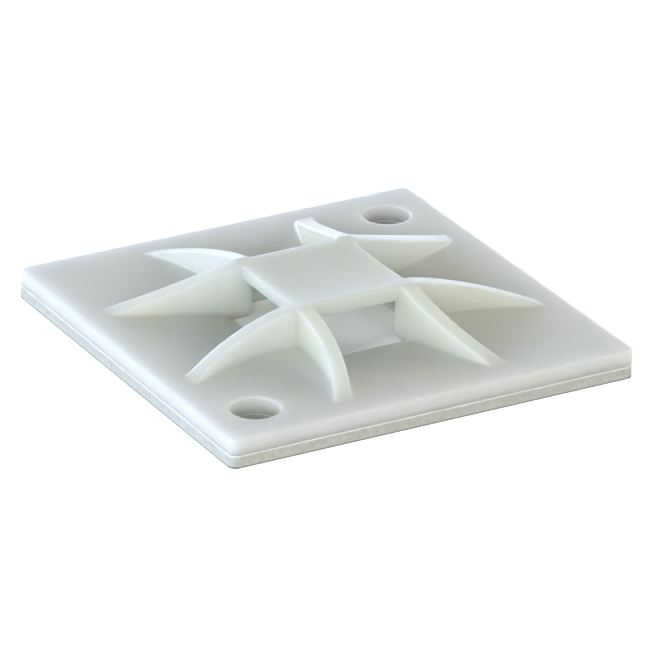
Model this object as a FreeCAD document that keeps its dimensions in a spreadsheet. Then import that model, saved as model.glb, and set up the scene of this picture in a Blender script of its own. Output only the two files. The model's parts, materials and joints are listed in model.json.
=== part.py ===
"""Four-way adhesive cable tie mount.

A square nylon moulding sits on a foam pad with a release liner under it. Two tie channels cross under a
raised square bridge. Posts at the bridge's corners carry it, and two ribs leave each post beside the
mouths of the channels. The ribs flare as they run down to the plate. A ramp leads from the plate's upper
face down to the lip of each mouth.

Millimetres, +Z up. The origin is the centre of the liner's underside, on which the mount stands.
Inside each body, z = 0 is that body's own underside.
"""
import FreeCAD, Part
import enum
import math
import os
import Sketcher

# Driving dimensions: alias, millimetres, meaning
DIMENSIONS = [
    ("plate_side", 28.0, "side of the square plate"),
    ("plate_thickness", 1.15, "thickness of the plate"),
    ("plate_corner_radius", 0.5, "plan radius of the plate's corners"),
    ("plate_rim_radius", 0.2, "rounding along the plate's upper rim"),
    ("screw_hole_diameter", 3.0, "screw holes through the plate, the pad and the liner"),
    ("screw_hole_inset", 3.4, "distance of a screw hole's centre from the plate's sides"),
    ("channel_width", 6.2, "clear width of a tie channel"),
    ("post_thickness", 0.9, "how far the bridge reaches past a channel's wall, over its posts"),
    ("core_relief", 0.3, "how far the square opening in the middle reaches past a channel's wall"),
    ("bridge_height", 2.5, "height of the bridge above the plate's upper face"),
    ("bridge_thickness", 1.08, "thickness of the bridge above the channels"),
    ("cradle_radius", 45.0, "radius of the shallow cradle along the bridge's top"),
    ("edge_radius", 0.15, "rounding of the bridge's edges over the mouths and of the screw holes' rims"),
    ("lip_clearance", 0.8, "distance of a mouth's lip from the bridge, in plan"),
    ("lip_depth", 0.9, "depth of a mouth's lip below the plate's upper face"),
    ("ramp_inset", 2.5, "distance from the plate's side at which a ramp starts to fall"),
    ("rib_thickness", 1.05, "thickness of a rib"),
    ("rib_straight_length", 0.6, "length of a rib's straight stretch beside the bridge"),
    ("rib_flare_radius", 17.0, "plan radius of a rib's channel side"),
    ("rib_inset", 1.7, "distance from the plate's side at which a rib's crest meets the plate"),
    ("rib_crest_radius", 50.0, "radius of a rib's convex crest"),
    ("foam_thickness", 0.7, "thickness of the foam pad with its adhesive"),
    ("liner_thickness", 0.08, "thickness of the release liner"),
    ("cutter_margin", 1.0, "how far a cutting profile runs past the material"),
]
SHEET = "Dimensions"

AXIS_Z = FreeCAD.Vector(0, 0, 1)
SIDES_OF_SQUARE = 4
TOLERANCE = 1e-6


class PointOn(enum.IntEnum):
    """The point of an edge that a constraint takes."""

    START = 1
    END = 2
    CENTRE = 3


class Hand(enum.IntEnum):
    """The side of the middle plane on which a thing lies."""

    RIGHT = 1
    LEFT = -1


START, END, CENTRE = PointOn
RIGHT, LEFT = Hand
ORIGIN_POINT = (-1, START)


class Size:
    """A length: its value now, and the expression that derives it from the driving dimensions."""

    def __init__(self, now, text):
        self.now = now
        self.text = text

    def __add__(self, other):
        return Size(self.now + other.now, f"({self.text} + {other.text})")

    def __sub__(self, other):
        return Size(self.now - other.now, f"({self.text} - {other.text})")

    def __truediv__(self, number):
        return Size(self.now / number, f"{self.text} / {number}")

    def __mul__(self, number):
        return Size(self.now * number, f"{self.text} * {number}")


ZERO = Size(0.0, "0")


class Sizes:
    """The spreadsheet of driving dimensions, and the distances that follow from them."""

    def __init__(self, doc):
        self.sheet = doc.addObject("Spreadsheet::Sheet", SHEET)
        for row, (alias, value, meaning) in enumerate(DIMENSIONS, start=1):
            self.sheet.set(f"A{row}", str(value))
            self.sheet.setAlias(f"A{row}", alias)
            self.sheet.set(f"B{row}", meaning)
        doc.recompute()
        for alias, _, _ in DIMENSIONS:
            setattr(self, alias, Size(float(self.sheet.get(alias)), f"{SHEET}.{alias}"))
        self.bridge_side = self.channel_width + self.post_thickness * 2
        self.core_side = self.channel_width + self.core_relief * 2
        self.lip_distance = self.bridge_side / 2 + self.lip_clearance
        self.ramp_reach = self.plate_side / 2 - self.ramp_inset
        self.rib_turn = self.bridge_side / 2 + self.rib_straight_length
        self.rib_reach = self.plate_side / 2 - self.rib_inset
        self.crown = self.plate_thickness + self.bridge_height


def origin_feature(body, role):
    """Find a plane or an axis of the body's own origin."""
    return next(item for item in body.Origin.OriginFeatures if item.Role == role)


class Outline:
    """A sketch on one of a body's origin planes, whose sizes follow the driving dimensions."""

    def __init__(self, body, name, role):
        self.sketch = body.newObject("Sketcher::SketchObject", name)
        self.sketch.AttachmentSupport = (origin_feature(body, role), [""])
        self.sketch.MapMode = "FlatFace"

    def line(self, first, last):
        """Add a straight edge."""
        return self.sketch.addGeometry(Part.LineSegment(FreeCAD.Vector(*first), FreeCAD.Vector(*last)))

    def arc(self, centre, radius, angle_from, angle_to):
        """Add an anticlockwise arc, with its angles in radians."""
        circle = Part.Circle(FreeCAD.Vector(*centre), AXIS_Z, radius)
        return self.sketch.addGeometry(Part.ArcOfCircle(circle, angle_from, angle_to))

    def tie(self, kind, *where):
        """Add a constraint that has no size."""
        self.sketch.addConstraint(Sketcher.Constraint(kind, *where))

    def measure(self, kind, name, size, *where):
        """Add a constraint whose size is bound to the driving dimensions."""
        index = self.sketch.addConstraint(Sketcher.Constraint(kind, *where, size.now))
        self.sketch.renameConstraint(index, name)
        self.sketch.setExpression(f"Constraints.{name}", size.text)

    def place(self, name, geometry, point, across=None, up=None, hand=RIGHT):
        """Set a point's distance from the sketch's origin, to the left of it where hand is LEFT."""
        if across is not None:
            pair = (ORIGIN_POINT, (geometry, point))[::hand]
            self.measure("DistanceX", f"{name}_across", across, *pair[0], *pair[1])
        if up is not None:
            self.measure("DistanceY", f"{name}_up", up, *ORIGIN_POINT, geometry, point)

    def chain(self, points):
        """Join points with straight edges, each level or upright, and tie their ends together."""
        edges = [self.line(first, last) for first, last in zip(points, points[1:])]
        for edge, (first, last) in zip(edges, zip(points, points[1:])):
            self.tie("Horizontal" if first[1] == last[1] else "Vertical", edge)
        for edge, following in zip(edges, edges[1:]):
            self.tie("Coincident", edge, END, following, START)
        return edges

    def rectangle(self, width, depth):
        """Add a rectangle centred on the origin."""
        right, top = width.now / 2, depth.now / 2
        corners = [(-right, -top), (right, -top), (right, top), (-right, top), (-right, -top)]
        edges = self.chain(corners)
        self.tie("Coincident", edges[-1], END, edges[0], START)
        self.tie("Symmetric", edges[0], START, edges[1], END, *ORIGIN_POINT)
        self.measure("DistanceX", "width", width, edges[0], START, edges[0], END)
        self.measure("DistanceY", "depth", depth, edges[1], START, edges[1], END)
        return self

    def circle(self, name, across, up, diameter, hand):
        """Add a circle, right of and above the origin or left of and below it."""
        centre = FreeCAD.Vector(hand * across.now, hand * up.now)
        index = self.sketch.addGeometry(Part.Circle(centre, AXIS_Z, diameter.now / 2))
        for kind, axis, size in (("DistanceX", "across", across), ("DistanceY", "up", up)):
            pair = (ORIGIN_POINT, (index, CENTRE))[::hand]
            self.measure(kind, f"{name}_{axis}", size, *pair[0], *pair[1])
        self.measure("Diameter", f"{name}_diameter", diameter, index)


def new_body(doc, name, underside):
    """Start a body whose underside lies at the given height."""
    body = doc.addObject("PartDesign::Body", name)
    body.Label = name
    body.setExpression("Placement.Base.z", underside.text)
    return body


def volume_so_far(body):
    """Measure the body before its next feature."""
    return body.Tip.Shape.Volume if body.Tip else 0.0


def finish_feature(body, made, grows, before):
    """Recompute, and make sure that the feature has added or removed material as it should."""
    body.Document.recompute()
    after = made.Shape.Volume
    if (after > before) != grows or after == before:
        raise RuntimeError(f"{made.Name} changed the volume from {before:.4f} to {after:.4f}")
    return made


def pad(body, name, outline, length, both_sides=False):
    """Raise an outline upwards from its plane, or to both sides of it."""
    before = volume_so_far(body)
    made = body.newObject("PartDesign::Pad", name)
    made.Profile = outline.sketch
    made.setExpression("Length", length.text)
    made.Midplane = both_sides
    return finish_feature(body, made, True, before)


def pocket(body, name, outline, length=None, both_sides=False):
    """Cut an outline upwards from its plane, or to both sides of it. With no length, cut right through."""
    before = volume_so_far(body)
    made = body.newObject("PartDesign::Pocket", name)
    made.Profile = outline.sketch
    made.Midplane = both_sides
    made.Reversed = not both_sides
    if length is None:
        made.Type = "ThroughAll"
    else:
        made.setExpression("Length", length.text)
    return finish_feature(body, made, False, before)


def on_four_sides(body, original, grows):
    """Repeat a feature on the four sides of the square."""
    before = volume_so_far(body)
    pattern = body.newObject("PartDesign::PolarPattern", f"{original.Name}_on_four_sides")
    pattern.Originals = [original]
    pattern.Axis = (origin_feature(body, "Z_Axis"), [""])
    pattern.Angle = 360
    pattern.Occurrences = SIDES_OF_SQUARE
    body.Tip = pattern
    return finish_feature(body, pattern, grows, before)


def fillet(body, name, base, radius, chosen):
    """Round the edges of the base feature for which chosen is true."""
    names = [f"Edge{i}" for i, edge in enumerate(base.Shape.Edges, start=1) if chosen(edge)]
    made = body.newObject("PartDesign::Fillet", name)
    made.Base = (base, names)
    made.setExpression("Radius", radius.text)
    body.Document.recompute()
    return made


def is_upright(edge):
    """Say whether an edge is a straight line along Z."""
    first, last = edge.Vertexes[0].Point, edge.Vertexes[-1].Point
    return math.isclose(first.x, last.x, abs_tol=TOLERANCE) and math.isclose(first.y, last.y, abs_tol=TOLERANCE)


def level_at(height):
    """Make a test for edges that lie in the plane at a height."""
    return lambda edge: edge.BoundBox.ZMin > height - TOLERANCE and edge.BoundBox.ZMax < height + TOLERANCE


def over_a_mouth(sizes):
    """Make a test for the edges of the bridge's faces, which run across the mouths from wall to wall."""
    wall, face = sizes.channel_width.now / 2, sizes.bridge_side.now / 2

    def at_corner_of_face(vertex):
        near, far = sorted((abs(vertex.X), abs(vertex.Y)))
        return math.isclose(near, wall, abs_tol=TOLERANCE) and math.isclose(far, face, abs_tol=TOLERANCE)

    return lambda edge: not is_upright(edge) and all(map(at_corner_of_face, edge.Vertexes))


def rim_at(height):
    """Make a test for full circles in the plane at a height."""
    return lambda edge: edge.isClosed() and level_at(height)(edge)


def square_slab(body, sizes, thickness):
    """Make the slab with rounded corners and two screw holes that the plate, pad and liner share."""
    square = Outline(body, f"{body.Name}_square", "XY_Plane").rectangle(sizes.plate_side, sizes.plate_side)
    slab = pad(body, f"{body.Name}_slab", square, thickness)
    return fillet(body, f"{body.Name}_corners", slab, sizes.plate_corner_radius, is_upright)


def screw_holes(body, sizes):
    """Cut the two screw holes, which lie on one diagonal of the square."""
    holes = Outline(body, f"{body.Name}_screw_circles", "XY_Plane")
    offset = sizes.plate_side / 2 - sizes.screw_hole_inset
    for name, hand in (("back", RIGHT), ("front", LEFT)):
        holes.circle(name, offset, offset, sizes.screw_hole_diameter, hand)
    return pocket(body, f"{body.Name}_screw_holes", holes)


def flared_side(outline, sizes, name, hand, offset, reach):
    """Add one side of a rib: straight beside the bridge, then an arc that flares outwards.

    The side lies at an offset from the channel's wall. It runs from beside the core opening, in the
    direction of -Y, to a reach.
    """
    across = sizes.channel_width / 2 + offset
    radius = sizes.rib_flare_radius - offset
    turn = math.asin((reach.now - sizes.rib_turn.now) / radius.now)
    x, y_start, y_turn = hand * across.now, -sizes.core_side.now / 2, -sizes.rib_turn.now
    straight = outline.line((x, y_start), (x, y_turn))
    if hand == RIGHT:
        near, far = START, END
        angles = (math.pi, math.pi + turn)
    else:
        near, far = END, START
        angles = (-turn, 0.0)
    arc = outline.arc((hand * (across.now + radius.now), y_turn), radius.now, *angles)
    outline.tie("Vertical", straight)
    outline.tie("Tangent", straight, END, arc, near)
    outline.place(name, straight, START, across=across, hand=hand)
    outline.measure("DistanceY", f"{name}_start", sizes.core_side / 2, straight, START, *ORIGIN_POINT)
    outline.measure("DistanceY", f"{name}_turn", sizes.rib_turn, straight, END, *ORIGIN_POINT)
    outline.measure("DistanceY", f"{name}_reach", reach, arc, far, *ORIGIN_POINT)
    outline.measure("Radius", f"{name}_radius", radius, arc)
    return straight, (arc, far)


def close_sides(outline, first, second):
    """Join two flared sides at both ends."""
    (first_line, first_far), (second_line, second_far) = first, second
    sketch = outline.sketch
    for one, other in (((first_line, START), (second_line, START)), (first_far, second_far)):
        here, there = sketch.getPoint(*one), sketch.getPoint(*other)
        joint = outline.line(here[:2], there[:2])
        outline.tie("Coincident", joint, START, *one)
        outline.tie("Coincident", joint, END, *other)


def recess_outline(body, sizes):
    """Outline a mouth's recess in plan. Its sides run inside the two ribs that flank it."""
    outline = Outline(body, "recess_outline", "XY_Plane")
    inside_rib = sizes.rib_thickness / 2
    sides = [
        flared_side(outline, sizes, name, hand, inside_rib, sizes.ramp_reach)
        for name, hand in (("right", RIGHT), ("left", LEFT))
    ]
    close_sides(outline, *sides)
    return outline


def rib_outline(body, sizes):
    """Outline in plan the two ribs that flank a mouth."""
    outline = Outline(body, "rib_outline", "XY_Plane")
    past_foot = sizes.rib_reach + sizes.rib_inset / 2
    for name, hand in (("right", RIGHT), ("left", LEFT)):
        inner = flared_side(outline, sizes, f"{name}_inner", hand, ZERO, past_foot)
        outer = flared_side(outline, sizes, f"{name}_outer", hand, sizes.rib_thickness, past_foot)
        close_sides(outline, inner, outer)
    return outline


def ramp_profile(body, sizes):
    """Outline a ramp from the side: an arc that leaves the plate's face level and falls to the lip."""
    outline = Outline(body, "ramp_profile", "YZ_Plane")
    lip, reach = sizes.lip_distance, sizes.ramp_reach
    top, lip_top = sizes.plate_thickness, sizes.plate_thickness - sizes.lip_depth
    fall, run = sizes.lip_depth.now, reach.now - lip.now
    radius = (run ** 2 + fall ** 2) / (2 * fall)
    arc = outline.arc((-reach.now, top.now - radius), radius, math.pi / 2 - math.asin(run / radius), math.pi / 2)
    edges = outline.chain([(-reach.now, top.now), (-reach.now, 0), (-lip.now, 0), (-lip.now, lip_top.now)])
    outline.tie("Coincident", arc, END, edges[0], START)
    outline.tie("Coincident", arc, START, edges[2], END)
    outline.tie("Vertical", arc, CENTRE, arc, END)
    outline.tie("PointOnObject", edges[0], END, -1)
    outline.place("reach", arc, END, across=reach, up=top, hand=LEFT)
    outline.place("lip", arc, START, across=lip, up=lip_top, hand=LEFT)
    return outline


def crest_profile(body, sizes):
    """Outline from the side what lies above the ribs' crests, from the bridge to past the plate's edge."""
    outline = Outline(body, "crest_profile", "YZ_Plane")
    near, foot = sizes.bridge_side / 2, sizes.rib_reach
    outside = sizes.plate_side / 2 + sizes.cutter_margin
    base, crown = sizes.plate_thickness, sizes.crown
    above = crown + sizes.cutter_margin
    rise, run = sizes.bridge_height.now, foot.now - near.now
    radius = sizes.rib_crest_radius.now
    to_centre = math.sqrt(radius ** 2 - (run ** 2 + rise ** 2) / 4) / math.hypot(run, rise)
    centre = (-(near.now + foot.now) / 2 + rise * to_centre, base.now + rise / 2 - run * to_centre)
    at_bridge = math.atan2(crown.now - centre[1], -near.now - centre[0])
    at_foot = math.atan2(base.now - centre[1], -foot.now - centre[0])
    arc = outline.arc(centre, radius, at_bridge, at_foot)
    edges = outline.chain([
        (-foot.now, base.now), (-outside.now, base.now), (-outside.now, above.now),
        (-near.now, above.now), (-near.now, crown.now),
    ])
    outline.tie("Coincident", arc, END, edges[0], START)
    outline.tie("Coincident", arc, START, edges[3], END)
    outline.place("foot", arc, END, across=foot, up=base, hand=LEFT)
    outline.place("bridge", arc, START, across=near, up=crown, hand=LEFT)
    outline.place("outside", edges[1], END, across=outside, up=above, hand=LEFT)
    outline.measure("Radius", "crest", sizes.rib_crest_radius, arc)
    return outline


def cradle_profile(body, sizes):
    """Outline the shallow round hollow along the bridge's top, seen from its end."""
    outline = Outline(body, "cradle_profile", "YZ_Plane")
    half = sizes.bridge_side / 2
    crown = sizes.crown
    above = crown + sizes.cutter_margin
    radius = sizes.cradle_radius.now
    tilt = math.asin(half.now / radius)
    centre = (0, crown.now + radius * math.cos(tilt))
    arc = outline.arc(centre, radius, 1.5 * math.pi - tilt, 1.5 * math.pi + tilt)
    edges = outline.chain([
        (half.now, crown.now), (half.now, above.now), (-half.now, above.now), (-half.now, crown.now),
    ])
    outline.tie("Coincident", arc, END, edges[0], START)
    outline.tie("Coincident", arc, START, edges[2], END)
    outline.place("right_end", arc, END, across=half, up=crown)
    outline.place("left_end", arc, START, across=half, up=crown, hand=LEFT)
    outline.measure("DistanceY", "above", above, *ORIGIN_POINT, edges[0], END)
    outline.measure("Radius", "cradle", sizes.cradle_radius, arc)
    return outline


def make_mount_body(doc, sizes):
    """Model the nylon moulding."""
    body = new_body(doc, "mount_body", sizes.liner_thickness + sizes.foam_thickness)
    corners = square_slab(body, sizes, sizes.plate_thickness)
    fillet(body, "plate_rim", corners, sizes.plate_rim_radius, level_at(sizes.plate_thickness.now))

    on_four_sides(body, pocket(body, "recess", recess_outline(body, sizes)), grows=False)
    ramp = pad(body, "ramp", ramp_profile(body, sizes), sizes.ramp_reach * 2, both_sides=True)
    on_four_sides(body, ramp, grows=True)

    on_four_sides(body, pad(body, "ribs", rib_outline(body, sizes), sizes.crown), grows=True)
    crests = pocket(body, "crests", crest_profile(body, sizes), both_sides=True)
    on_four_sides(body, crests, grows=False)

    square = Outline(body, "bridge_square", "XY_Plane").rectangle(sizes.bridge_side, sizes.bridge_side)
    pad(body, "bridge", square, sizes.crown)
    pocket(body, "cradle", cradle_profile(body, sizes), both_sides=True)

    under_bridge = sizes.crown - sizes.bridge_thickness
    length, width = sizes.lip_distance * 2, sizes.channel_width
    plans = {"core": (sizes.core_side, sizes.core_side), "channel_x": (length, width), "channel_y": (width, length)}
    for name, (across, along) in plans.items():
        plan = Outline(body, f"{name}_plan", "XY_Plane").rectangle(across, along)
        pocket(body, name, plan, under_bridge)
    holes = screw_holes(body, sizes)

    rims = fillet(body, "screw_rims", holes, sizes.edge_radius, rim_at(sizes.plate_thickness.now))
    fillet(body, "bridge_edges", rims, sizes.edge_radius, over_a_mouth(sizes))
    return body


def make_layer(doc, sizes, name, underside, thickness):
    """Model a flat layer of the adhesive pad, cut to the plate's outline and punched for the screws."""
    body = new_body(doc, name, underside)
    square_slab(body, sizes, thickness)
    screw_holes(body, sizes)
    return body


def check(doc, bodies):
    """Stop if any object failed or a body has no sound solid."""
    failed = [item.Name for item in doc.Objects if {"Invalid", "Error"} & set(item.State)]
    failed += [body.Label for body in bodies if body.Shape.isNull() or not body.Shape.isValid()]
    if failed:
        raise RuntimeError(f"these objects failed: {', '.join(failed)}")


def main():
    """Build the document and write one file for each piece."""
    doc = FreeCAD.newDocument("cable_tie_mount")
    sizes = Sizes(doc)
    bodies = [
        make_mount_body(doc, sizes),
        make_layer(doc, sizes, "foam_pad", sizes.liner_thickness, sizes.foam_thickness),
        make_layer(doc, sizes, "release_liner", ZERO, sizes.liner_thickness),
    ]
    doc.recompute()
    check(doc, bodies)
    os.makedirs("parts", exist_ok=True)
    for body in bodies:
        body.Shape.exportStep(os.path.join("parts", f"{body.Label}.step"))
        box = body.Shape.BoundBox
        print(f"{body.Label}: {len(body.Shape.Solids)} solid, {body.Shape.Volume:.2f} mm3, "
              f"z {box.ZMin:.3f} to {box.ZMax:.3f}, {len(body.Shape.Faces)} faces")


main()
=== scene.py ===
"""Looks of a four-way adhesive cable tie mount: a moulding in natural nylon 66 on a foam pad with its liner.

Each sub-assembly is a class that builds its meshes and dresses them. The frame gives every place and size.
Lengths in the dataclasses are millimetres and become metres through MM.
"""
from __future__ import annotations

import json
import logging
import math
from dataclasses import dataclass, field
from enum import Enum

import bpy
import numpy as np
from mathutils import Matrix, Vector

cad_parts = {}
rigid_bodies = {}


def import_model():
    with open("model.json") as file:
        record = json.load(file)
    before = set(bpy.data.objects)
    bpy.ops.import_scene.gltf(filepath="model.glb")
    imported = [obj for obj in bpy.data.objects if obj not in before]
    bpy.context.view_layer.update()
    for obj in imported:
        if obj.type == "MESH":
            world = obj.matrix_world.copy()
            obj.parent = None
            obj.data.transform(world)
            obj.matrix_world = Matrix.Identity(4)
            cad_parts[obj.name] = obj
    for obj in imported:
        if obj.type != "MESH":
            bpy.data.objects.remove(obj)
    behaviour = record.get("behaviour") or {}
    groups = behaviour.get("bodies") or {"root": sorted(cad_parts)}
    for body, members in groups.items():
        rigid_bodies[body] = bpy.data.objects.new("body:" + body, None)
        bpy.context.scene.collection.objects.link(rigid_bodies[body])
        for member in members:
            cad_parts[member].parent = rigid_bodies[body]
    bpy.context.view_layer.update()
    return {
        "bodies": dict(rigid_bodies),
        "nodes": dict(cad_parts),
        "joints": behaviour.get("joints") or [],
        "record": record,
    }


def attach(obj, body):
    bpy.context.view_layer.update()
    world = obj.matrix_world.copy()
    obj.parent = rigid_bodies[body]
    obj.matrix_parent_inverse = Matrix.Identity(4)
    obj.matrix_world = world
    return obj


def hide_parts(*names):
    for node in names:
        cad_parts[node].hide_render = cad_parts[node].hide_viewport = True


MM = 0.001
WHITE = (1.0, 1.0, 1.0, 1.0)
LOG = logging.getLogger("cable_tie_mount")


def linear(hex_colour: str) -> tuple[float, float, float, float]:
    """Turn an sRGB hex colour into linear values.

    Args:
        hex_colour: six hex digits with a leading number sign.

    Returns:
        Red, green, blue and an alpha of 1.
    """
    channels = [int(hex_colour[i:i + 2], 16) / 255 for i in (1, 3, 5)]
    red, green, blue = (c / 12.92 if c <= 0.04045 else ((c + 0.055) / 1.055) ** 2.4 for c in channels)
    return red, green, blue, 1.0


def add_node(tree: bpy.types.NodeTree, kind: str, links: dict | None = None, **settings) -> bpy.types.Node:
    """Add a node with its settings, its socket values and its links.

    Args:
        tree: the node tree.
        kind: the node's type name.
        links: input name or index, mapped to an output socket or a plain value.
        settings: attributes of the node itself.

    Returns:
        The new node.
    """
    node = tree.nodes.new(kind)
    for name, value in settings.items():
        setattr(node, name, value)
    for name, value in (links or {}).items():
        if isinstance(value, bpy.types.NodeSocket):
            tree.links.new(value, node.inputs[name])
        else:
            node.inputs[name].default_value = value
    return node


def add_noise(tree: bpy.types.NodeTree, place: bpy.types.NodeSocket, size: float, detail: float = 2.0,
              roughness: float = 0.5) -> bpy.types.NodeSocket:
    """Add a noise whose patches have a real size.

    Args:
        tree: the node tree.
        place: coordinates in metres.
        size: width of a patch in millimetres.
        detail: number of finer layers.
        roughness: weight of the finer layers.

    Returns:
        The noise, from 0 to 1.
    """
    node = add_node(tree, "ShaderNodeTexNoise", {
        "Vector": place, "Scale": 1 / (size * MM), "Detail": detail, "Roughness": roughness,
    })
    return node.outputs["Fac"]


def add_mix(tree: bpy.types.NodeTree, factor: bpy.types.NodeSocket, first: bpy.types.NodeSocket | tuple,
            second: bpy.types.NodeSocket | tuple, blend: str = "MIX") -> bpy.types.NodeSocket:
    """Mix two colours.

    Args:
        tree: the node tree.
        factor: share of the second colour.
        first: the colour at a factor of 0.
        second: the colour that is laid over it.
        blend: how it is laid over.

    Returns:
        The mixed colour.
    """
    node = add_node(tree, "ShaderNodeMix", {"Factor": factor, "A": first, "B": second},
                    data_type="RGBA", blend_type=blend)
    return node.outputs["Result"]


def add_bump(tree: bpy.types.NodeTree, height: bpy.types.NodeSocket, strength: float, distance: float,
             **below: bpy.types.NodeSocket) -> bpy.types.NodeSocket:
    """Turn a height into a bumped normal.

    Args:
        tree: the node tree.
        height: the height, from 0 to 1.
        strength: share of the bump that shows.
        distance: what a height of 1 stands for, in millimetres.
        below: a Normal that this bump lies on, if any.

    Returns:
        The normal.
    """
    node = add_node(tree, "ShaderNodeBump", {
        "Height": height, "Strength": strength, "Distance": distance * MM, **below,
    })
    return node.outputs["Normal"]


def direction(azimuth: float, elevation: float) -> Vector:
    """Point from the object towards a lamp or camera.

    Args:
        azimuth: degrees round the object, 0 in front at -Y and 90 on the right at +X.
        elevation: degrees above the floor.

    Returns:
        A unit vector.
    """
    turn, rise = math.radians(azimuth), math.radians(elevation)
    return Vector((math.sin(turn) * math.cos(rise), -math.cos(turn) * math.cos(rise), math.sin(rise)))


def new_material(name: str) -> tuple[bpy.types.Material, bpy.types.NodeTree]:
    """Make an empty node material.

    Args:
        name: the material's name.

    Returns:
        The material and its node tree.
    """
    material = bpy.data.materials.new(name)
    material.use_nodes = True
    material.node_tree.nodes.clear()
    return material, material.node_tree


def read_points(mesh: bpy.types.Mesh) -> np.ndarray:
    """Read a mesh's vertices in millimetres, one row each."""
    points = np.empty(len(mesh.vertices) * 3)
    mesh.vertices.foreach_get("co", points)
    return points.reshape(-1, 3) / MM


def write_points(mesh: bpy.types.Mesh, points: np.ndarray) -> None:
    """Move a mesh's vertices to the rows of an array in millimetres."""
    mesh.vertices.foreach_set("co", (points * MM).ravel())
    mesh.update()


@dataclass(frozen=True)
class MouldedNylon66:
    """Natural nylon 66, injection moulded: milky and translucent, with a fine satin mould finish."""

    # Painted light and shade: the first colour is a painted glow where little nylon lies round a point, the
    # second is painted shade where much does.
    painted_glow_colour: str = "#FBFDF4"
    painted_shade_colour: str = "#DCDFD8"
    full_glow_depth: float = 0.034
    full_shade_depth: float = 0.069
    warm_cast: str = "#FFFBF1"
    cloud_size: float = 6.0
    cloud_edge: tuple[float, float] = (0.45, 0.75)
    wave_size: float = 1.6
    wave_strength: float = 0.3
    wave_height: float = 0.05
    grain_size: float = 0.12
    grain_roughness: float = 0.6
    grain_strength: float = 0.15
    grain_height: float = 0.01
    scatter_depth: float = 3.0
    ior: float = 1.53
    roughness: float = 0.3

    def material(self, depth_attribute: str) -> bpy.types.Material:
        """Build the material.

        The base colour holds painted light and shade: a painted glow, pale, near the plate's rim and in thin
        walls, and painted shade, greyer, in the plate's middle, with faint warm clouds over both. The bump has
        the mould's fine texture and the slow waves that a shrinking wall leaves.

        Args:
            depth_attribute: the mesh attribute that says how much nylon lies round a point, which places the
                painted glow and shade.

        Returns:
            The material.
        """
        material, tree = new_material("natural_nylon_66")
        place = add_node(tree, "ShaderNodeTexCoord").outputs["Object"]
        depth = add_node(tree, "ShaderNodeAttribute", attribute_name=depth_attribute)
        closeness = add_node(tree, "ShaderNodeMapRange", {
            "Value": depth.outputs["Fac"], "From Min": self.full_shade_depth, "From Max": self.full_glow_depth,
        }, interpolation_type="SMOOTHSTEP")
        # Painted light and shade: lighter where the nylon is thin or near a free edge, greyer in the plate's
        # middle, standing in for the light that translucent nylon lets in.
        glow_shade = add_mix(tree, closeness.outputs["Result"], linear(self.painted_shade_colour), linear(self.painted_glow_colour))
        clouds = add_node(tree, "ShaderNodeMapRange", {
            "Value": add_noise(tree, place, self.cloud_size),
            "From Min": self.cloud_edge[0], "From Max": self.cloud_edge[1],
        })
        tint = add_mix(tree, clouds.outputs["Result"], glow_shade, linear(self.warm_cast), blend="MULTIPLY")
        waves = add_noise(tree, place, self.wave_size, detail=1.0)
        swell = add_bump(tree, waves, self.wave_strength, self.wave_height)
        grain = add_noise(tree, place, self.grain_size, roughness=self.grain_roughness)
        shader = add_node(tree, "ShaderNodeBsdfPrincipled", {
            "Base Color": tint,
            "Roughness": self.roughness,
            "IOR": self.ior,
            "Subsurface Weight": 1.0,
            "Subsurface Radius": (1.0, 1.0, 1.0),
            "Subsurface Scale": self.scatter_depth * MM,
            "Normal": add_bump(tree, grain, self.grain_strength, self.grain_height, Normal=swell),
        })
        add_node(tree, "ShaderNodeOutputMaterial", {"Surface": shader.outputs["BSDF"]})
        return material


@dataclass(frozen=True)
class ClosedCellFoam:
    """Polyethylene foam tape: a matt, pale grey cut edge with open cells, between two paler layers of adhesive.
    The adhesive's tone starts adhesive_start from a face and is full at adhesive_full from it."""

    colour: str = "#D3D3CE"
    painted_pit_shade_colour: str = "#BABAB4"
    cell_size: float = 0.28
    cell_strength: float = 0.4
    cell_height: float = 0.03
    adhesive_colour: str = "#F8F9F7"
    adhesive_start: float = 0.08
    adhesive_full: float = 0.03
    bottom: float = 0.08
    top: float = 0.78
    roughness: float = 0.85
    specular: float = 0.3

    def material(self) -> bpy.types.Material:
        """Build the material: cells as small pits, with painted shade darkening their middles, and the adhesive
        told from the foam by its height.
        """
        material, tree = new_material("closed_cell_foam_tape")
        place = add_node(tree, "ShaderNodeTexCoord").outputs["Object"]
        cells = add_node(tree, "ShaderNodeTexVoronoi", {
            "Vector": place, "Scale": 1 / (self.cell_size * MM),
        }, feature="SMOOTH_F1").outputs["Distance"]
        # Painted shade: the foam colour darkens towards each cell's middle, where the bump sinks a pit.
        core = add_mix(tree, cells, linear(self.painted_pit_shade_colour), linear(self.colour))
        height = add_node(tree, "ShaderNodeSeparateXYZ", {"Vector": place}).outputs["Z"]
        middle = (self.bottom + self.top) / 2
        above = add_node(tree, "ShaderNodeMath", {0: height, 1: middle * MM}, operation="SUBTRACT")
        away = add_node(tree, "ShaderNodeMath", {0: above.outputs[0]}, operation="ABSOLUTE")
        reach = (self.top - self.bottom) / 2
        layer = add_node(tree, "ShaderNodeMapRange", {
            "Value": away.outputs[0],
            "From Min": (reach - self.adhesive_start) * MM,
            "From Max": (reach - self.adhesive_full) * MM,
        })
        shader = add_node(tree, "ShaderNodeBsdfPrincipled", {
            "Base Color": add_mix(tree, layer.outputs["Result"], core, linear(self.adhesive_colour)),
            "Roughness": self.roughness,
            "Specular IOR Level": self.specular,
            "Normal": add_bump(tree, cells, self.cell_strength, self.cell_height),
        })
        add_node(tree, "ShaderNodeOutputMaterial", {"Surface": shader.outputs["BSDF"]})
        return material


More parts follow.
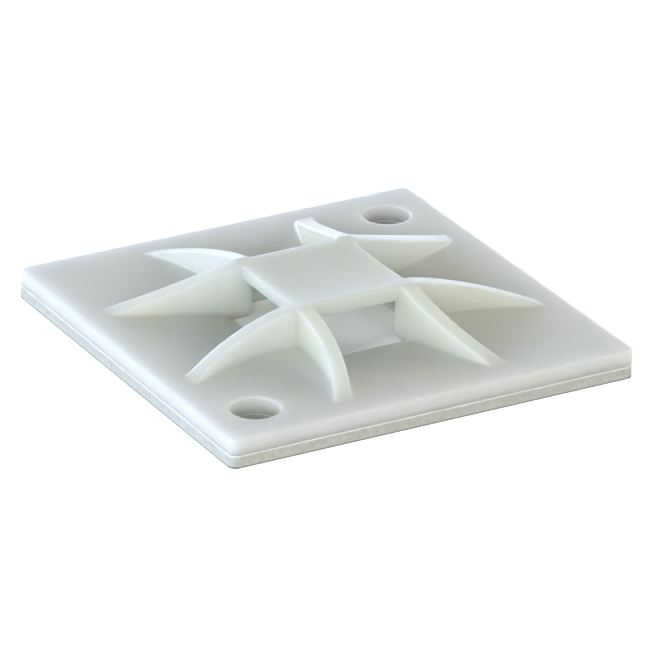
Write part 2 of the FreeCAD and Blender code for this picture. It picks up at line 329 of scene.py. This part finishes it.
@dataclass(frozen=True)
class SiliconisedFilm:
    """Release liner: a thin, smooth, slightly glossy film, darker than the foam."""

    colour: str = "#9AA096"
    streak_colour: str = "#8E948B"
    streak_size: float = 2.0
    streak_detail: float = 4.0
    streak_squeeze: tuple[float, float, float] = (0.2, 1.0, 1.0)
    roughness: float = 0.35

    def material(self) -> bpy.types.Material:
        """Build the material: a faint streaky tone from the film's silicone coat."""
        material, tree = new_material("siliconised_liner_film")
        place = add_node(tree, "ShaderNodeTexCoord").outputs["Object"]
        squeezed = add_node(tree, "ShaderNodeMapping", {"Vector": place, "Scale": self.streak_squeeze})
        streaks = add_noise(tree, squeezed.outputs["Vector"], self.streak_size, self.streak_detail)
        shader = add_node(tree, "ShaderNodeBsdfPrincipled", {
            "Base Color": add_mix(tree, streaks, linear(self.colour), linear(self.streak_colour)),
            "Roughness": self.roughness,
        })
        add_node(tree, "ShaderNodeOutputMaterial", {"Surface": shader.outputs["BSDF"]})
        return material


class Node(Enum):
    """The CAD solids by name."""

    MOUNT = "mount_body"
    PAD = "foam_pad"
    LINER = "release_liner"


class Slot(Enum):
    """Names of material slots, stored on each new skin."""

    NYLON = "nylon"
    FOAM = "foam"


@dataclass
class SolidSkin:
    """A closed skin grown from a CAD solid, with its edges rounded as a real piece's are."""

    node: Node
    piece: str
    slot: Slot
    voxel: float
    smooth_steps: int
    triangles: int
    weld_distance: float = 0.001

    def build(self, frame: dict) -> bpy.types.Object:
        """Remesh a merged copy of the solid evenly, round it off, shape it and thin out its flat stretches.


        Returns:
            The finished piece, which rides on the root and replaces its CAD node.
        """
        mesh = frame["nodes"][self.node.value].data.copy()
        mesh.materials.clear()
        skin = bpy.data.objects.new(self.piece, mesh)
        bpy.context.scene.collection.objects.link(skin)
        self.modify(skin, "WELD", merge_threshold=self.weld_distance * MM)
        self.modify(skin, "REMESH", mode="VOXEL", voxel_size=self.voxel * MM)
        self.modify(skin, "SMOOTH", iterations=self.smooth_steps)
        self.apply(skin)
        self.shape(skin.data)
        # The even grid is all quads, of two triangles each
        self.modify(skin, "DECIMATE", ratio=min(1.0, self.triangles / (2 * len(skin.data.polygons))))
        self.apply(skin)
        self.mark(skin.data)
        skin.data.shade_smooth()
        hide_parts(self.node.value)
        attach(skin, "root")
        return skin

    def shape(self, mesh: bpy.types.Mesh) -> None:
        """Give the even skin its own small forms. A plain skin has none."""

    def mark(self, mesh: bpy.types.Mesh) -> None:
        """Give the finished skin its own attributes. A plain skin has none."""

    @staticmethod
    def modify(skin: bpy.types.Object, kind: str, **settings) -> None:
        """Add a modifier with its settings."""
        modifier = skin.modifiers.new(kind.lower(), kind)
        for name, value in settings.items():
            setattr(modifier, name, value)

    @staticmethod
    def apply(skin: bpy.types.Object) -> None:
        """Replace the object's mesh by its evaluated one and drop the modifiers."""
        evaluated = skin.evaluated_get(bpy.context.evaluated_depsgraph_get())
        mesh = bpy.data.meshes.new_from_object(evaluated)
        skin.modifiers.clear()
        skin.data = mesh


@dataclass
class CutFoamSkin(SolidSkin):
    """The foam's skin, with the torn cells that the die leaves round its cut edge."""

    low: float = 0.08
    high: float = 0.78
    half_side: float = 14.0
    corner_radius: float = 0.5
    edge_width: float = 0.1
    cell: float = 0.45
    cell_spread: tuple[float, float] = (0.7, 1.6)
    cell_depth: float = 0.035
    waves: int = 40
    deepest: float = 2.0
    fade_power: int = 4
    seed: int = 7

    def shape(self, mesh: bpy.types.Mesh) -> None:
        """Sink pits into the cut edge.

        The outward direction at a point is that of a rounded square: the part of |x|, |y| beyond the corner
        arcs' centres, made a unit. A pit's depth is the positive part of a sum of plane waves of random
        direction and phase, about a cell long. The sum is in its standard deviations and cut off at the
        deepest. The depth fades to nothing at the two adhesive layers and beyond the edge's width.

        Args:
            mesh: the even skin, whose cut edge is moved inwards.
        """
        rng = np.random.default_rng(self.seed)
        points = read_points(mesh)
        flat = points[:, :2]
        beyond = np.maximum(np.abs(flat) - (self.half_side - self.corner_radius), 0.0)
        reach = np.linalg.norm(beyond, axis=1)
        outward = np.sign(flat) * beyond / np.maximum(reach, 1e-9)[:, None]
        at_edge = np.clip(1 - (self.corner_radius - reach) / self.edge_width, 0.0, 1.0)
        directions = rng.normal(size=(self.waves, 3))
        directions /= np.linalg.norm(directions, axis=1, keepdims=True)
        lengths = self.cell * rng.uniform(*self.cell_spread, self.waves)
        phases = rng.uniform(0.0, 2 * math.pi, self.waves)
        waves = np.sin(points @ (2 * math.pi * directions / lengths[:, None]).T + phases)
        deviation = math.sqrt(self.waves / 2)
        pits = np.clip(waves.sum(axis=1) / deviation, 0.0, self.deepest) / self.deepest
        middle = (self.low + self.high) / 2
        height = 2 * np.abs(points[:, 2] - middle) / (self.high - self.low)
        inside = np.clip(1 - height ** self.fade_power, 0.0, 1.0)
        points[:, :2] -= outward * (self.cell_depth * pits * inside * at_edge)[:, None]
        write_points(mesh, points)


@dataclass
class GlowShadeDepth:
    """How much nylon lies round each point of a skin, which places the painted light and shade in the nylon's
    colour. Thin walls and free edges let more light in than the middle of a plate does, so they are painted
    lighter and the middle is painted greyer."""

    cell: float = 0.25
    reach: float = 5.0
    margin: float = 15.0
    attribute: str = "glow_shade_depth"
    low: np.ndarray = field(default_factory=lambda: np.zeros(3))
    filled: np.ndarray = field(default_factory=lambda: np.zeros((1, 1, 1)))

    def fill(self, mesh: bpy.types.Mesh) -> None:
        """Work out and keep the blurred filling of space by a closed mesh, and the grid's lowest corner.

        Going up a column, each face that looks down opens the solid and each that looks up closes it, so the
        running sum of minus the face's upright area is how full a cell is. A Gaussian of width reach blurs it.

        Args:
            mesh: a closed mesh with faces smaller than a cell.
        """
        count = len(mesh.polygons)
        centres, normals, areas = np.empty(count * 3), np.empty(count * 3), np.empty(count)
        mesh.polygons.foreach_get("center", centres)
        mesh.polygons.foreach_get("normal", normals)
        mesh.polygons.foreach_get("area", areas)
        centres = centres.reshape(-1, 3) / MM
        upright = -normals.reshape(-1, 3)[:, 2] * areas / (self.cell * MM) ** 2
        self.low = centres.min(axis=0) - self.margin
        shape = np.ceil((centres.max(axis=0) + self.margin - self.low) / self.cell).astype(int)
        cells = np.ravel_multi_index(tuple(((centres - self.low) / self.cell).astype(int).T), tuple(shape))
        full = np.bincount(cells, upright, int(shape.prod())).reshape(shape).cumsum(axis=2)
        waves = np.meshgrid(*(np.fft.fftfreq(n, self.cell) for n in shape[:2]),
                            np.fft.rfftfreq(shape[2], self.cell), indexing="ij")
        blur = np.exp(-2 * (math.pi * self.reach) ** 2 * sum(w ** 2 for w in waves))
        self.filled = np.fft.irfftn(np.fft.rfftn(full) * blur, tuple(shape))

    def write(self, mesh: bpy.types.Mesh) -> None:
        """Keep the filling at each vertex as an attribute, read from the eight cells round it by distance.

        Args:
            mesh: the finished mesh.
        """
        place = (read_points(mesh) - self.low) / self.cell - 0.5
        base = np.floor(place).astype(int)
        part = place - base
        value = np.zeros(len(place))
        for corner in np.ndindex(2, 2, 2):
            weight = np.prod(np.where(corner, part, 1 - part), axis=1)
            value += weight * self.filled[tuple((base + corner).T)]
        mesh.attributes.new(self.attribute, "FLOAT", "POINT").data.foreach_set("value", value)


@dataclass
class MouldedSkin(SolidSkin):
    """The nylon's skin, with the rounded inner corners that melt leaves at the feet of ribs and walls."""

    foot_radius: float = 0.45
    rounds: int = 8
    steps: int = 8
    # Depth of nylon round each point: the mask of the painted glow and shade in the nylon's colour.
    glow_shade: GlowShadeDepth = field(default_factory=GlowShadeDepth)

    def shape(self, mesh: bpy.types.Mesh) -> None:
        """Fill inner corners until none is sharper than the foot radius.

        Each vertex of the even grid is drawn towards the mean of its neighbours, but only outwards, along its
        normal, and only by what exceeds a quarter of the squared grid step over the radius. That is how far
        the mean lies from a vertex on a hollow of that radius, so wider hollows and outer edges stay.

        Args:
            mesh: the even skin.
        """
        ends = np.empty(len(mesh.edges) * 2, dtype=np.int32)
        mesh.edges.foreach_get("vertices", ends)
        first, second = ends.reshape(-1, 2).T
        points = read_points(mesh)
        count = len(points)
        neighbours = np.bincount(ends, minlength=count)[:, None]
        allowed = self.voxel ** 2 / (4 * self.foot_radius)
        normals = np.empty(count * 3)
        for _ in range(self.rounds):
            mesh.vertices.foreach_get("normal", normals)
            outward = normals.reshape(-1, 3)
            for _ in range(self.steps):
                total = np.stack([
                    np.bincount(first, points[second, axis], count)
                    + np.bincount(second, points[first, axis], count)
                    for axis in range(3)
                ], axis=1)
                rise = ((total / neighbours - points) * outward).sum(axis=1)
                points += outward * np.maximum(rise - allowed, 0.0)[:, None]
            write_points(mesh, points)
        self.glow_shade.fill(mesh)

    def mark(self, mesh: bpy.types.Mesh) -> None:
        """Write the depth of nylon, which places the painted glow and shade, on the finished skin."""
        self.glow_shade.write(mesh)


@dataclass
class Moulding:
    """The nylon moulding: plate, bridge, ribs and ramps in one piece."""

    finish: MouldedNylon66 = field(default_factory=MouldedNylon66)
    voxel: float = 0.07
    smooth_steps: int = 4
    triangles: int = 190000

    def build(self, frame: dict) -> bpy.types.Object:
        """Build and dress the moulding.


        Returns:
            The moulding.
        """
        skin = MouldedSkin(Node.MOUNT, "moulding", Slot.NYLON, self.voxel, self.smooth_steps, self.triangles)
        piece = skin.build(frame)
        piece.data.materials.append(self.finish.material(skin.glow_shade.attribute))
        return piece


@dataclass
class AdhesivePad:
    """The foam tape under the plate, and the liner that covers its lower adhesive."""

    foam: ClosedCellFoam = field(default_factory=ClosedCellFoam)
    film: SiliconisedFilm = field(default_factory=SiliconisedFilm)
    voxel: float = 0.1
    smooth_steps: int = 2
    triangles: int = 90000

    def build(self, frame: dict) -> list[bpy.types.Object]:
        """Build and dress the foam, and dress the liner.


        Returns:
            The foam and the liner.
        """
        skin = CutFoamSkin(Node.PAD, "foam_tape", Slot.FOAM, self.voxel, self.smooth_steps, self.triangles,
                           low=self.foam.bottom, high=self.foam.top)
        foam = skin.build(frame)
        foam.data.materials.append(self.foam.material())
        liner = frame["nodes"][Node.LINER.value]
        liner.data.materials.clear()
        liner.data.materials.append(self.film.material())
        return [foam, liner]


@dataclass
class Lamp:
    """A square softbox. Its place is given from the object by azimuth, elevation and distance, and its level is
    how bright a white card that faces it shows, where 1 is white."""

    name: str
    azimuth: float
    elevation: float
    level: float
    colour: str
    distance: float = 600.0
    side: float = 260.0

    def build(self, aim: Vector) -> None:
        """Hang the lamp so that it faces the aim.

        Args:
            aim: the point that the lamp faces, in metres.
        """
        data = bpy.data.lights.new(self.name, "AREA")
        data.shape = "SQUARE"
        data.size = self.side * MM
        data.energy = self.level * (math.pi * self.distance * MM) ** 2
        data.color = linear(self.colour)[:3]
        lamp = bpy.data.objects.new(self.name, data)
        back = direction(self.azimuth, self.elevation)
        lamp.location = aim + back * self.distance * MM
        lamp.rotation_euler = back.to_track_quat("Z", "Y").to_euler()
        bpy.context.scene.collection.objects.link(lamp)


@dataclass
class Studio:
    """Pale floor, soft lamps and the camera at the photograph's viewing angle."""

    camera_azimuth: float = -29.8005
    camera_elevation: float = 24.8539
    camera_roll: float = 1.0707
    camera_distance: float = 382.438
    camera_aim: tuple[float, float, float] = (-1.205, -2.776, 1.93)
    camera_clip: tuple[float, float] = (10.0, 10000.0)
    lens: float = 342.55
    lamp_aim: tuple[float, float, float] = (0.0, 0.0, 2.0)
    floor_side: float = 3000.0
    floor_colour: str = "#EDEDEB"
    floor_lift: float = 0.60

    def build(self) -> None:
        """Set the whole stage."""
        self.make_camera()
        self.make_world()
        self.make_floor()
        for lamp in self.lamps():
            lamp.build(Vector(self.lamp_aim) * MM)

    def lamps(self) -> list[Lamp]:
        """List the softboxes: bluish windows low behind and on the left, and plain fills in front and above."""
        return [
            Lamp("back_window", -180.0, 2.0, 0.71, "#ECF2FF"),
            Lamp("back_right_window", 150.0, 2.0, 0.14, "#BFDBFF"),
            Lamp("key_window", -120.0, 8.0, 0.55, "#D6E7FF"),
            Lamp("key_window_sill", -120.0, 2.0, 0.13, "#C7E1FF"),
            Lamp("left_window", -90.0, 10.0, 0.48, "#DEEAFF"),
            Lamp("left_front_fill", -45.0, 20.0, 0.40, "#FAFDFB"),
            Lamp("front_fill", 0.0, 16.0, 0.21, "#FFFFFB"),
            Lamp("right_front_fill", 60.0, 18.0, 0.23, "#FFFCF6"),
            Lamp("right_fill", 90.0, 18.0, 0.29, "#F9F9F6"),
            Lamp("top_fill", 0.0, 90.0, 0.15, "#FBFFF0"),
        ]

    def make_camera(self) -> None:
        """Place the camera by its angles round the aim, with the photograph's slight roll."""
        back = direction(self.camera_azimuth, self.camera_elevation)
        right = (-back).cross(Vector((0, 0, 1))).normalized()
        up = right.cross(-back)
        roll = math.radians(self.camera_roll)
        rolled_right = right * math.cos(roll) + up * math.sin(roll)
        rolled_up = up * math.cos(roll) - right * math.sin(roll)
        data = bpy.data.cameras.new("photo_angle")
        data.lens = self.lens
        data.clip_start, data.clip_end = (end * MM for end in self.camera_clip)
        camera = bpy.data.objects.new("photo_angle", data)
        turn = Matrix((rolled_right, rolled_up, back)).transposed()
        place = Vector(self.camera_aim) * MM + back * self.camera_distance * MM
        camera.matrix_world = Matrix.Translation(place) @ turn.to_4x4()
        bpy.context.scene.collection.objects.link(camera)
        bpy.context.scene.camera = camera

    def make_world(self) -> None:
        """Show plain white behind the object. The lamps alone carry the light."""
        world = bpy.data.worlds.new("studio")
        bpy.context.scene.world = world
        world.use_nodes = True
        tree = world.node_tree
        tree.nodes.clear()
        white = add_node(tree, "ShaderNodeBackground", {"Color": WHITE, "Strength": self.straight_view(tree)})
        add_node(tree, "ShaderNodeOutputWorld", {"Surface": white.outputs[0]})

    @staticmethod
    def straight_view(tree: bpy.types.NodeTree) -> bpy.types.NodeSocket:
        """Tell the rays that look at the backdrop from those that carry light.

        Args:
            tree: the node tree that asks.

        Returns:
            A value of 1 for camera, glossy and transmission rays, 0 for the rest.
        """
        rays = add_node(tree, "ShaderNodeLightPath").outputs
        looks = rays["Is Camera Ray"]
        for kind in ("Is Glossy Ray", "Is Transmission Ray"):
            looks = add_node(tree, "ShaderNodeMath", {0: looks, 1: rays[kind]}, operation="MAXIMUM").outputs[0]
        return looks

    def make_floor(self) -> None:
        """Lay a pale floor that shows white, with the object's soft shadow kept in it."""
        half = self.floor_side * MM / 2
        corners = [(-half, -half, 0), (half, -half, 0), (half, half, 0), (-half, half, 0)]
        mesh = bpy.data.meshes.new("floor")
        mesh.from_pydata(corners, [], [(0, 1, 2, 3)])
        floor = bpy.data.objects.new("floor", mesh)
        bpy.context.scene.collection.objects.link(floor)
        material, tree = new_material("pale_floor")
        paint = add_node(tree, "ShaderNodeBsdfDiffuse", {"Color": linear(self.floor_colour)})
        lift = add_node(tree, "ShaderNodeMath", {0: self.straight_view(tree), 1: self.floor_lift},
                        operation="MULTIPLY")
        white = add_node(tree, "ShaderNodeEmission", {"Color": WHITE, "Strength": lift.outputs[0]})
        both = add_node(tree, "ShaderNodeAddShader", {0: paint.outputs[0], 1: white.outputs[0]})
        add_node(tree, "ShaderNodeOutputMaterial", {"Surface": both.outputs[0]})
        mesh.materials.append(material)


def main() -> None:
    """Build the studio and the object, and report each piece."""
    logging.basicConfig(level=logging.INFO, format="%(message)s")
    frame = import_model()
    bpy.context.scene.view_settings.view_transform = "Standard"
    Studio().build()
    pieces = [Moulding().build(frame), *AdhesivePad().build(frame)]
    for piece in pieces:
        LOG.info("%s: %d faces", piece.name, len(piece.data.polygons))


if __name__ == "__main__":
    main()
